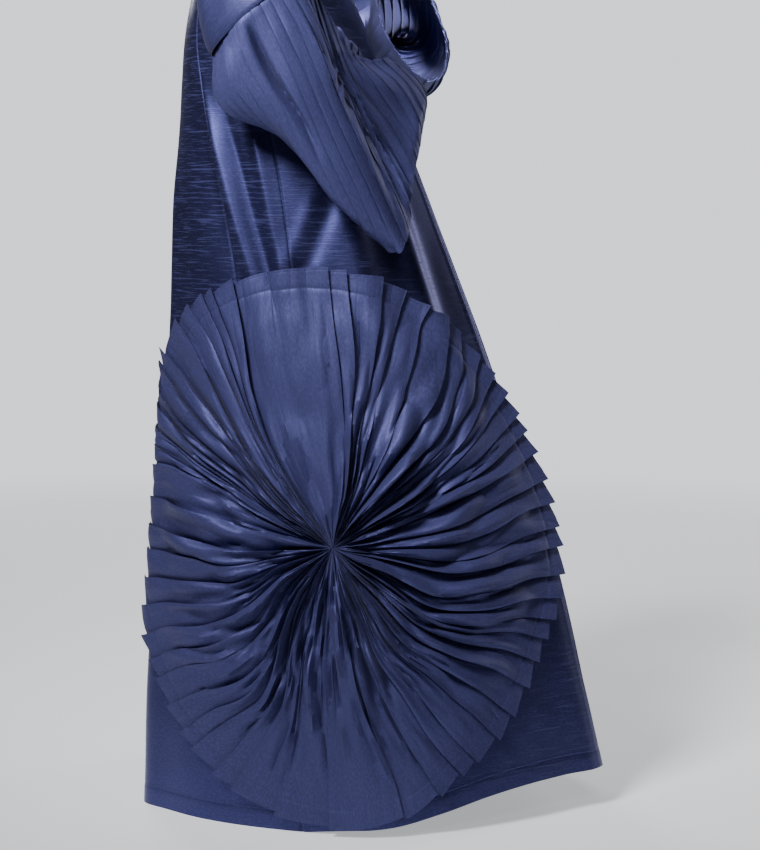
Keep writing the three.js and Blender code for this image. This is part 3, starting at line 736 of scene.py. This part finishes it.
def right_controls(station):
    rails = []
    for degrees, *spots in RIGHT_RAILS.values():
        rail = np.concatenate([seam_ring_point(RIGHT, degrees)[None], np.array(spots)])
        rails.append(smooth(STATIONS, rail, station))
    return np.stack(rails, 1)


def left_controls(station):
    centre = smooth(STATIONS, LEFT_CENTRE, station)[:, None]
    tall = smooth(STATIONS, LEFT_LONG, station)[:, None]
    wide = smooth(STATIONS, LEFT_OUT, station)[:, None]
    angle = (2 * np.pi * np.arange(LEFT_CORNERS) / LEFT_CORNERS)[None, :, None]
    return centre + tall * np.cos(angle) + wide * np.sin(angle)


def pleat_columns(counts):
    """The pleat of each column and its place across the pleat, close together towards the fold."""
    which = np.repeat(np.arange(len(counts)), counts)
    even = np.concatenate([np.linspace(0, 1, count) for count in counts])
    return which, even + 0.09 * np.sin(np.pi * even) - 0.05 * np.sin(2 * np.pi * even)


def across_pleats(edge, tuck, lead, high, puff, curve, columns):
    """Each pleat comes out from under the last fold and rises to its own fold edge.
    The first five are (rows, pleats); edge and tuck are counted in turns."""
    which, q = columns
    before = np.roll(edge, 1, 1)
    before[:, 0] -= 1
    start = (before - np.roll(tuck, 1, 1))[:, which]
    climb = q ** curve[:, which]
    turn = mix(start, edge[:, which], q)
    rise = mix(lead[:, which], high[:, which], climb) + puff[:, which] * np.sin(np.pi * q)
    return turn, rise


SLEEVE_ROWS = 100
SLEEVE_TUCK = 0.22
SLEEVE_TOOTH = 8.5
RING_POINTS = 240
PLEAT_CLOTH = 34
# The near sleeve's creases. Turns run round the cuff and stations from the seam to the cuff.
FAN_START = 0.55
FAN_END = 1.02
FACET_LIFT = 22
SPOKE_LIFT = 10
CROOK_TURN = 0.86
CROOK_STATION = 0.42
GROOVE_TURN = 0.155
GROOVE_HALF_TURN = 0.011
GROOVE_DEPTH = 24
SHOULDER_LIFT = 6
FAR_WAVE = 5


def right_sleeve_form(turn, station):
    """The near sleeve's main creases: how strong the pleats are and how far the cloth is lifted."""
    around = np.mod(turn, 1)
    fan = ease((around - FAN_START) / 0.08) * ease((FAN_END - around) / 0.06)
    fan = fan * ease((station - 0.25) / 0.3)
    spoke = np.arctan2((around - CROOK_TURN) * 2.2, station - CROOK_STATION + 0.1)
    facet = ripple(spoke * 2.6, station, 1, 0.9, 17.3)
    spokes = 1 - 2.6 * np.abs(ripple(spoke * 4.5, station, 1, 0.8, 3.9))
    lift = fan * (FACET_LIFT * facet + SPOKE_LIFT * spokes) * ease((station - 0.3) / 0.3)
    seam = GROOVE_TURN - 0.03 * ease((station - 0.35) / 0.3)
    groove = np.exp(-(((around - seam) / GROOVE_HALF_TURN) ** 2)) * bump((station - 0.02) / 0.64) ** 0.6
    shoulder = ease((seam - around) / 0.012) * ease((0.7 - station) / 0.3) * (around < 0.5)
    lift = lift - GROOVE_DEPTH * groove + SHOULDER_LIFT * shoulder * bump((station - 0.02) / 0.7)
    return 1 - 0.6 * fan, lift


def plain_sleeve_form(turn, station):
    """The far sleeve has no main crease, only soft waves."""
    angle = 2 * np.pi * turn
    return 1 + 0 * turn, FAR_WAVE * ripple(np.cos(angle) * 2, np.sin(angle) * 2 + station, 1, 1, 6.6)


def bell_sleeve(name, controls, form, seed):
    """A pleated bell sleeve, from its seam ring to its cuff."""
    curves = ring_curves(controls)
    even = np.linspace(0, 1, RING_POINTS, endpoint=False)[None, :] + np.zeros((len(curves), 1))
    base = read_rings(curves, even)
    normals = grid_normals(base, base.mean(1, keepdims=True), closed=True)
    run = lengths_along(base, 0).mean(1)
    station = np.linspace(0, 1, SLEEVE_ROWS)[:, None]
    pleat = np.arange(SLEEVE_PLEATS)[None, :]
    wander = 0.10 * ripple(pleat * 1.7, station, 1, 0.35, seed) * ease(station * 5)
    edge = (pleat + wander) / SLEEVE_PLEATS
    full = ease(0.3 + station * 3)
    tuck = SLEEVE_TUCK / SLEEVE_PLEATS * full + 0 * edge
    lively = 1 + 0.55 * ripple(pleat * 2.3, station, 1, 0.5, seed + 5)
    hemmed = 1 - 0.55 * ease((station - 0.9) / 0.08)
    strength, _ = form(edge, station)
    high = SLEEVE_TOOTH * full * lively * hemmed * strength
    puff = 1.5 * ripple(pleat * 1.9, station, 1, 0.3, seed + 9) * full * strength
    columns = pleat_columns([10] * SLEEVE_PLEATS)
    turn, rise = across_pleats(edge, tuck, -0.35 * high, 0.65 * high, puff, 0.5 + 0 * edge, columns)
    rise = rise + form(turn, station)[1] * ease(station / 0.1) * ease((1.04 - station) / 0.1)
    rise = rise + 0.5 * ripple(turn * 30, station * 8, 0.8, 1, seed + 2)
    rise -= 1.4 * np.exp(-((station / 0.012) ** 2))
    spots = read_rings(curves, turn)
    lookup = np.mod(turn, 1) * RING_POINTS
    whole = np.floor(lookup).astype(int)
    part = (lookup - whole)[..., None]
    rows = np.arange(len(curves))[:, None]
    follow = (whole + 1) % RING_POINTS
    out = unit(mix(normals[rows, whole % RING_POINTS], normals[rows, follow], part))
    outer = spots + out * rise[..., None]
    inner = outer - out * SILK_THICK
    along = run[:, None] + np.zeros((1, turn.shape[1] + 1))
    cloth_width = PLEAT_CLOTH * np.linspace(0, SLEEVE_PLEATS, turn.shape[1] + 1)[None, :]
    weave = np.stack([along, cloth_width + 0 * along], -1)
    edges = np.stack([run[-1] - along, cloth_width + 0 * along], -1)
    return shell(name, outer, inner, True, weave, edges, "sleeve")


UPPER_COLUMNS = 120
UPPER_ROWS = 40
UPPER_GIRTH = 480
UPPER_WAVE = 3.0
UPPER_CREASE = 1.2


def upper_sleeve(name, side, seed):
    """The plain upper sleeve, from the armhole to the pleated sleeve's seam."""
    turn = np.linspace(0, 1, UPPER_COLUMNS, endpoint=False)
    quarter = turn * 4
    front = (quarter <= 1) | (quarter > 3)
    climb = np.where(quarter <= 3, (3 - quarter) / 2, (quarter - 3) / 2)
    climb = np.where(quarter <= 1, 0.5 + quarter / 2, climb)
    sides = side + 0 * turn
    start = armhole_edge(sides, front, mix(UNDERARM[2], SHOULDER_TIP[2], climb))[None]
    stop = seam_ring_point(side, turn * 360)[None]
    leave = unit(point([0.93, 0, -0.36], side))
    arrive = seam_normal(side)
    far = np.linalg.norm(stop - start, axis=-1, keepdims=True) / PULL_LENGTH
    t = np.linspace(0, 1, UPPER_ROWS)[:, None, None]
    grid = start * (2 * t**3 - 3 * t**2 + 1) + leave * (t**3 - 2 * t**2 + t) * CAP_PULL * far
    grid = grid + stop * (3 * t**2 - 2 * t**3) + arrive * (t**3 - t**2) * SEAM_PULL * far
    normal = grid_normals(grid, grid.mean(1, keepdims=True), closed=True)
    share = t[..., 0]
    angle = 2 * np.pi * turn[None, :]
    lift = UPPER_WAVE * ripple(np.cos(angle) * 2.2 + share, np.sin(angle) * 2.2, 1, 1, seed) * bump(share)
    creases = ripple(np.cos(angle) * 6, np.sin(angle) * 6 + share * 2, 1, 1, seed + 3)
    lift += UPPER_CREASE * creases * bump(share)
    run = lengths_along(grid, 0)
    lift += dent(run) + dent(run[-1:] - run)
    outer = grid + normal * lift[..., None]
    inner = outer - normal * SILK_THICK
    round_way = np.linspace(0, 1, UPPER_COLUMNS + 1)[None, :] * UPPER_GIRTH
    down = np.concatenate([run, run[:, :1]], 1)
    weave = np.stack([round_way + 0 * down, down], -1)
    return shell(name, outer, inner, True, weave, weave + 1000, "plain")


stations = np.linspace(0, 1, SLEEVE_ROWS)
for word, side, seed in (("right", RIGHT, 2), ("left", LEFT, 4)):
    title = "upper_sleeve_" + word
    upper_sleeve(title, side, seed)
title = "pleated_sleeve_right"
bell_sleeve(title, right_controls(stations), right_sleeve_form, 12)
title = "pleated_sleeve_left"
bell_sleeve(title, left_controls(stations), plain_sleeve_form, 31)


# The rosette.

WALK_RISE = 20.0
WALK_STRIDE = 5.0
WALK_HEIGHTS = np.arange(-60, 961, WALK_RISE)
WALK_ACROSS = np.arange(-440, 441, WALK_STRIDE)
WALK_PLACES = 121
SLOPE_STEP = 0.03


def side_walk():
    """For each height, the place at each distance from the side seam, and how far the front goes."""
    height = WALK_HEIGHTS[:, None] + np.zeros((1, WALK_PLACES))
    to_front = np.linspace(1, 0, WALK_PLACES)[None, :] + 0 * height
    to_back = np.linspace(1, 3, WALK_PLACES)[None, :] + 0 * height
    front_run = lengths_along(section(RIGHT, to_front, height), 1)
    back_run = lengths_along(section(RIGHT, to_back, height), 1)
    table = []
    for row in range(len(WALK_HEIGHTS)):
        runs = np.concatenate([-back_run[row][:0:-1], front_run[row]])
        places = np.concatenate([to_back[row][:0:-1], to_front[row]])
        table.append(np.interp(WALK_ACROSS, runs, places))
    return np.array(table), front_run[:, -1]


walk_table, walk_end = side_walk()


def under_rosette(across, height):
    """A point of the body under the rosette and its outward direction. Across is + to the front."""
    end = np.interp(height, WALK_HEIGHTS, walk_end)
    wanted = np.minimum(across, end)
    row = np.clip((height - WALK_HEIGHTS[0]) / WALK_RISE, 0, len(WALK_HEIGHTS) - 1.001)
    column = np.clip((wanted - WALK_ACROSS[0]) / WALK_STRIDE, 0, len(WALK_ACROSS) - 1.001)
    i, j = row.astype(int), column.astype(int)
    fi, fj = row - i, column - j
    upper = mix(walk_table[i, j], walk_table[i, j + 1], fj)
    lower = mix(walk_table[i + 1, j], walk_table[i + 1, j + 1], fj)
    place = np.clip(mix(upper, lower, fi), 0, 3)
    spot = section(RIGHT, place, height)
    forward = section(RIGHT, np.maximum(0, place - SLOPE_STEP), height)
    backward = section(RIGHT, np.minimum(3, place + SLOPE_STEP), height)
    high = section(RIGHT, place, height + WALK_RISE)
    low = section(RIGHT, place, height - WALK_RISE)
    way = unit(forward - backward)
    spot = spot + way * np.maximum(0, across - end)[..., None]
    return spot, unit(np.cross(way, high - low))


ROSETTE_RADIUS = 430
RIM_STEPS = [0, 2.5, 5, 10, 16, 22, 27, 30, 32, 34, 37, 41, 47, 54]
INNER_STEPS = np.linspace(61, 424, 60)
ROSETTE_TUCK = 2.2
ROSETTE_TOOTH = 13
RIM_TOOTH = 6.5
SAWTOOTH = 7
GROUP_LIFT = 15
HIDDEN_FOLD = -3
PANEL_LIFT = 4
CREASE_DEPTH = 5
CREASE_HALF = 0.1
RIM_FLARE = 3
LEAST_RISE = 2.0


def facets(numbers):
    """Turns smooth numbers into rounded facets with sharp creases between them."""
    return 3.2 * np.abs(numbers) - 0.7


def fold_course(share):
    """The turn of every fold at each share, in degrees."""
    rows = np.array(COURSES)
    rim = np.concatenate([rows[:, 0] - 360, rows[:, 0], rows[:, 0] + 360])
    turns = []
    for column in rows.T:
        wrapped = np.concatenate([column - 360, column, column + 360])
        turns.append(np.interp(FOLD_TURNS, rim, wrapped))
    return smooth(COURSE_SHARE[::-1], np.array(turns)[::-1], share[:, 0])


def rosette():
    """Flat knife pleats at the rim, gathered into one point over the side seam."""
    distance = np.concatenate([RIM_STEPS, INNER_STEPS])[::-1, None]
    share = 1 - distance / ROSETTE_RADIUS
    count = len(FOLD_TURNS)
    pleat = np.arange(count)[None, :]
    rim_turn = np.array(FOLD_TURNS)[None, :]
    pitch = np.mod(rim_turn - np.roll(rim_turn, 1, 1), 360)
    inside = ease((1 - share) * 7 - 0.4)
    edge = fold_course(share)
    edge = edge + 0.5 * ripple(pleat * 1.7, share, 1, 0.2, 3.3) * inside
    middle = bump(share**0.8)
    zone = [np.interp(rim_turn, ZONE_TURN, sizes) for sizes in (ZONE_DEPTH, ZONE_PUFF, ZONE_OPEN)]
    depth = zone[0] * (0.75 + 0.5 * rng.random(count))
    for turn, deep in DEEP_FOLDS.items():
        depth[0, FOLD_TURNS.index(turn)] *= deep
    opened = mix(1, zone[2], bump((share - 0.52) / 0.8 + 0.25) * ease((0.93 - share) / 0.05))
    lively = np.maximum(0.12, 1 + 1.3 * ripple(pleat * 2.1, share, 1, 0.4, 8.1) * inside)
    grown = ease((1 - share) * 3.2 - 0.15)
    tooth = mix(RIM_TOOTH, ROSETTE_TOOTH * depth * lively * opened, grown) * ease(share / 0.12)
    group = GROUP_LIFT * ripple(pleat * 0.5, share, 1, 0.45, 5.5) * middle
    group = group * (0.08 + np.minimum(zone[1] / 5, 0.9))
    high = group + tooth * 0.5
    lead = np.roll(group, 1, 1) - tooth * 0.6
    puff = zone[1] * middle * (1 + 1.2 * ripple(pleat * 1.3, share, 1, 0.3, 6.1))
    curve = mix(1.0, 0.45, inside) + 0 * edge
    last = FOLD_TURNS.index(PANEL_EDGE)
    panel = (last + 1) % count
    high[:, last] = HIDDEN_FOLD
    lead[:, panel] = PANEL_LIFT + 6 * middle[:, 0]
    high[:, panel] = PANEL_LIFT + 5 * middle[:, 0]
    puff[:, panel] = 3 * middle[:, 0]
    tuck = np.minimum(ROSETTE_TUCK, 0.3 * pitch) * mix(1, 0.7, middle)
    steps = (8 + np.clip(pitch[0] / 2.2, 1, 12)).astype(int)
    columns = pleat_columns(steps)
    turn, rise = across_pleats(edge / 360, tuck / 360, lead, high, puff, curve, columns)
    which, q = columns
    angle = 2 * np.pi * turn
    cloth_way = (rim_turn[0, which] - pitch[0, which] * (1 - q))[None, :] / 360 * count
    gather = ripple(cloth_way * 2.3, share, 1, 0.22, 2.2) + 0.6 * ripple(cloth_way * 5, share, 1, 0.15, 7.2)
    rise = rise + (1.6 + 4.5 * bump(share / 0.5)) * gather * inside * ease(share / 0.1)
    crumple = facets(ripple(cloth_way * 1.3, share, 1, 0.3, 9.4))
    crumple += 0.4 * facets(ripple(cloth_way * 2.8, share, 1, 0.2, 1.4))
    crumple *= 2.4 + 5.5 * ease((0.8 - share) / 0.35)
    rise = rise + crumple * inside * ease(share / 0.15) * (0.38 + ease(zone[1][:, which] / 4))
    line = ripple(cloth_way * 1.1, share, 1, 0.8, 4.4) / CREASE_HALF
    line_depth = CREASE_DEPTH * (0.5 + 0.5 * ease(zone[1][:, which] / 2))
    rise = rise - line_depth * np.exp(-(line**2)) * inside * ease(share / 0.2)
    cut = SAWTOOTH * (1 - q) * ease((share - 0.96) / 0.04)
    reach = np.where(np.sin(angle) > 0, ROSETTE_FRONT, ROSETTE_BACK)
    degrees = np.degrees(np.mod(angle + np.pi, 2 * np.pi) - np.pi)
    part = share * smooth(RIM_TURN, RIM_REACH, degrees)
    from_low = np.radians(np.mod(degrees - LOW_FOLD_TURN + 180, 360) - 180) * share * ROSETTE_RADIUS
    low_fold = ease((LOW_FOLD_HALF * (0.6 + share) - np.abs(from_low)) / 9)
    rise = rise + LOW_FOLD_RISE * low_fold * ease(share / 0.2) * ease((0.97 - share) / 0.35)
    across = np.sin(angle) * (reach * part - cut)
    height = ROSETTE_HEIGHT + np.cos(angle) * (ROSETTE_UP * part - cut) + HUB_LIFT * (1 - share) ** 3
    spot, normal = under_rosette(across, height)
    pressed = 1 - ROSETTE_PRESS * share * ease(np.cos(angle + PRESS_TURN))
    rise = rise + smooth(ROSETTE_SHARE, ROSETTE_RISE, share) * pressed
    rise = rise - 1.0 * np.exp(-(((distance - RIM_STITCH) / 2.5) ** 2))
    flap = np.clip((RIM_STITCH - distance) / RIM_STITCH, 0, 1)
    flare = 1 + ripple(which[None, :] * 1.0, 0 * share, 0.77, 1, 4.2)
    rise = rise + RIM_FLARE * flap * q**2 * flare
    rise = np.maximum(rise, LEAST_RISE)
    outer = spot + normal * rise[..., None]
    inner = outer - normal * SILK_THICK
    ends = np.concatenate([cloth_way[0], cloth_way[0, :1] + count])
    weave = np.stack([distance + 0 * ends, 48 * ends + 0 * distance], -1)
    return shell("rosette", outer, inner, True, weave, weave, "rosette", hub=True)


rosette()


# The stage, lights and camera.

FLOOR_Z = -NECK_HEIGHT / 1000
floor_mesh = bpy.data.meshes.new("floor")
floor_mesh.from_pydata(
    [(-9, -9, FLOOR_Z), (9, -9, FLOOR_Z), (9, 9, FLOOR_Z), (-9, 9, FLOOR_Z)], [], [(0, 1, 2, 3)]
)
floor = bpy.data.objects.new("floor", floor_mesh)
bpy.context.scene.collection.objects.link(floor)
pale = Finish("pale_floor")
where = pale.node("ShaderNodeNewGeometry")
away = pale.node("ShaderNodeVectorMath", {"operation": "LENGTH"}, {0: where}, output=1)
paint = pale.node(
    "ShaderNodeBsdfPrincipled",
    sockets={
        "Base Color": (0.80, 0.81, 0.84, 1),
        "Roughness": 0.7,
        "Emission Color": (0.9, 0.92, 0.96, 1),
        "Emission Strength": 0.5,
    },
)
clear = pale.node("ShaderNodeBsdfTransparent")
both = pale.node("ShaderNodeMixShader", sockets={0: away.between(2.2, 4.6), 1: paint, 2: clear})
pale.node("ShaderNodeOutputMaterial", sockets={"Surface": both})
floor_mesh.materials.append(pale.material)


def softbox(name, spot, target, size, power, colour=(1, 1, 1)):
    data = bpy.data.lights.new(name, "AREA")
    data.shape = "RECTANGLE"
    data.size, data.size_y = size
    data.energy = power
    data.color = colour
    lamp = bpy.data.objects.new(name, data)
    lamp.location = spot
    lamp.rotation_euler = (Vector(target) - Vector(spot)).to_track_quat("-Z", "Y").to_euler()
    bpy.context.scene.collection.objects.link(lamp)
    return lamp


key = softbox("key", (-2.1, 0.65, 1.4), (-0.15, -0.05, -0.2), (0.8, 1.0), 23)
key.data.spread = math.radians(58)
softbox("rim", (2.0, -2.35, -0.1), (-0.1, -0.3, -0.7), (0.5, 2.0), 24, (1.0, 0.97, 0.92))
softbox("front", (-2.7, -1.2, 0.95), (-0.1, -0.25, -0.4), (0.7, 0.7), 8)
softbox("far", (2.6, 1.6, 0.9), (0, 0, -0.7), (1.2, 1.2), 40)
cuff_light = softbox("cuff", (-1.5, -0.7, 0.33), (0.07, -0.27, -0.185), (0.10, 0.10), 1.0)
cuff_light.data.spread = math.radians(8)

world = bpy.data.worlds.new("studio")
bpy.context.scene.world = world
world.use_nodes = True
backdrop = world.node_tree.nodes["Background"]
backdrop.inputs["Color"].default_value = (1.26, 1.28, 1.38, 1)
backdrop.inputs["Strength"].default_value = 1.0
dim = world.node_tree.nodes.new("ShaderNodeBackground")
dim.inputs["Color"].default_value = (0.66, 0.62, 0.60, 1)
dim.inputs["Strength"].default_value = 0.04
seen = world.node_tree.nodes.new("ShaderNodeLightPath")
either = world.node_tree.nodes.new("ShaderNodeMixShader")
world.node_tree.links.new(seen.outputs["Is Camera Ray"], either.inputs[0])
world.node_tree.links.new(dim.outputs[0], either.inputs[1])
world.node_tree.links.new(backdrop.outputs[0], either.inputs[2])
world.node_tree.links.new(either.outputs[0], world.node_tree.nodes["World Output"].inputs[0])

CAMERA_SPOT = (-3.480, -0.944, -0.530)
CAMERA_AZIMUTH = math.radians(12)
CAMERA_PITCH = math.radians(5.94)
camera_data = bpy.data.cameras.new("camera")
camera_data.lens = 89.96
camera_data.sensor_width = 36
camera = bpy.data.objects.new("camera", camera_data)
camera.location = CAMERA_SPOT
look = Vector(
    (
        math.cos(CAMERA_AZIMUTH) * math.cos(CAMERA_PITCH),
        math.sin(CAMERA_AZIMUTH) * math.cos(CAMERA_PITCH),
        -math.sin(CAMERA_PITCH),
    )
)
camera.rotation_euler = look.to_track_quat("-Z", "Y").to_euler()
bpy.context.scene.collection.objects.link(camera)
bpy.context.scene.camera = camera
